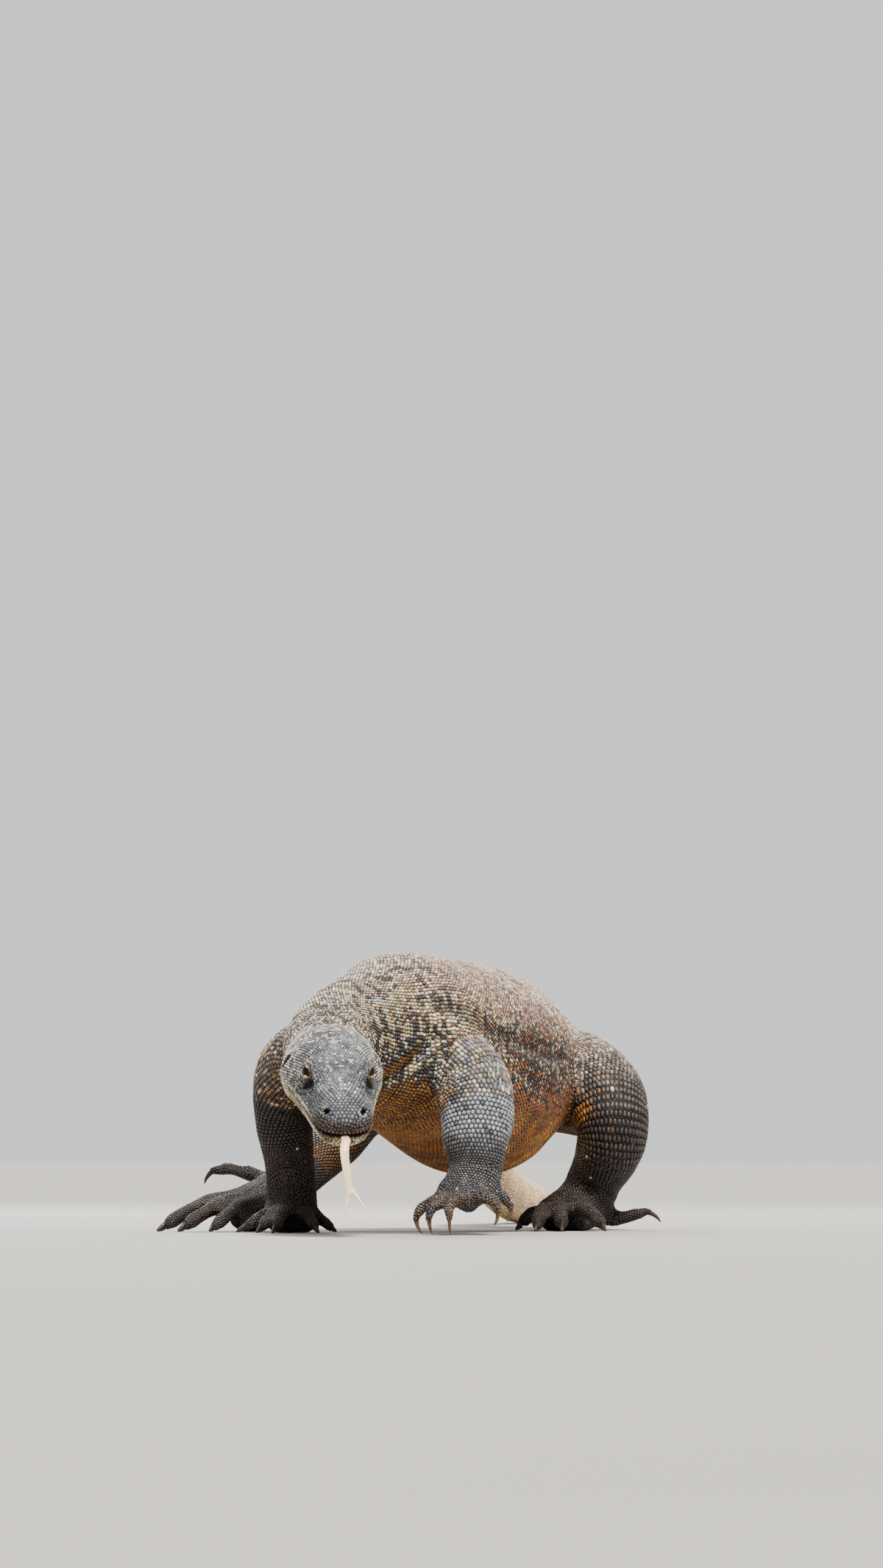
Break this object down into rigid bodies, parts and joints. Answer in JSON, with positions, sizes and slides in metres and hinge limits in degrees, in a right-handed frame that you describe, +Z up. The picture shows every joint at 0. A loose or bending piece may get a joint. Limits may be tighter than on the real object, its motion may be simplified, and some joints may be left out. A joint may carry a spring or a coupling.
{
  "type": "komodo dragon (monitor lizard) life-size model",
  "caption": "Life-size still model of a walking komodo dragon, head low and turned, forked tongue out, long tail trailing on the ground behind.",
  "frame": {"origin": "middle of the ground under the animal: the centre of the bottom of its bounding box", "axes": "+Z up from the ground, +Y from the shoulders towards the tail, +X to the animal's left"},
  "size_m": [0.564, 2.235, 0.3471],
  "materials": {
    "skin": "rough scaly skin, satin",
    "horn": "satin horn",
    "eye": "wet gloss",
    "tongue": "moist satin"
  },
  "bodies": {
    "root": {"head": "skin", "lower_jaw": "skin", "neck": "skin", "trunk": "skin", "tail_base": "skin", "tail_middle": "skin", "tail_end": "skin", "upper_arm_left": "skin", "forearm_left": "skin", "hand_left": "skin", "upper_arm_right": "skin", "forearm_right": "skin", "hand_right": "skin", "thigh_left": "skin", "shank_left": "skin", "foot_left": "skin", "thigh_right": "skin", "shank_right": "skin", "foot_right": "skin", "claw_hand_left_1": "horn", "claw_hand_left_2": "horn", "claw_hand_left_3": "horn", "claw_hand_left_4": "horn", "claw_hand_left_5": "horn", "claw_hand_right_1": "horn", "claw_hand_right_2": "horn", "claw_hand_right_3": "horn", "claw_hand_right_4": "horn", "claw_hand_right_5": "horn", "claw_foot_left_1": "horn", "claw_foot_left_2": "horn", "claw_foot_left_3": "horn", "claw_foot_left_4": "horn", "claw_foot_left_5": "horn", "claw_foot_right_1": "horn", "claw_foot_right_2": "horn", "claw_foot_right_3": "horn", "claw_foot_right_4": "horn", "claw_foot_right_5": "horn", "eye_left": "eye", "eye_right": "eye", "tongue": "tongue"}
  },
  "joints": []
}
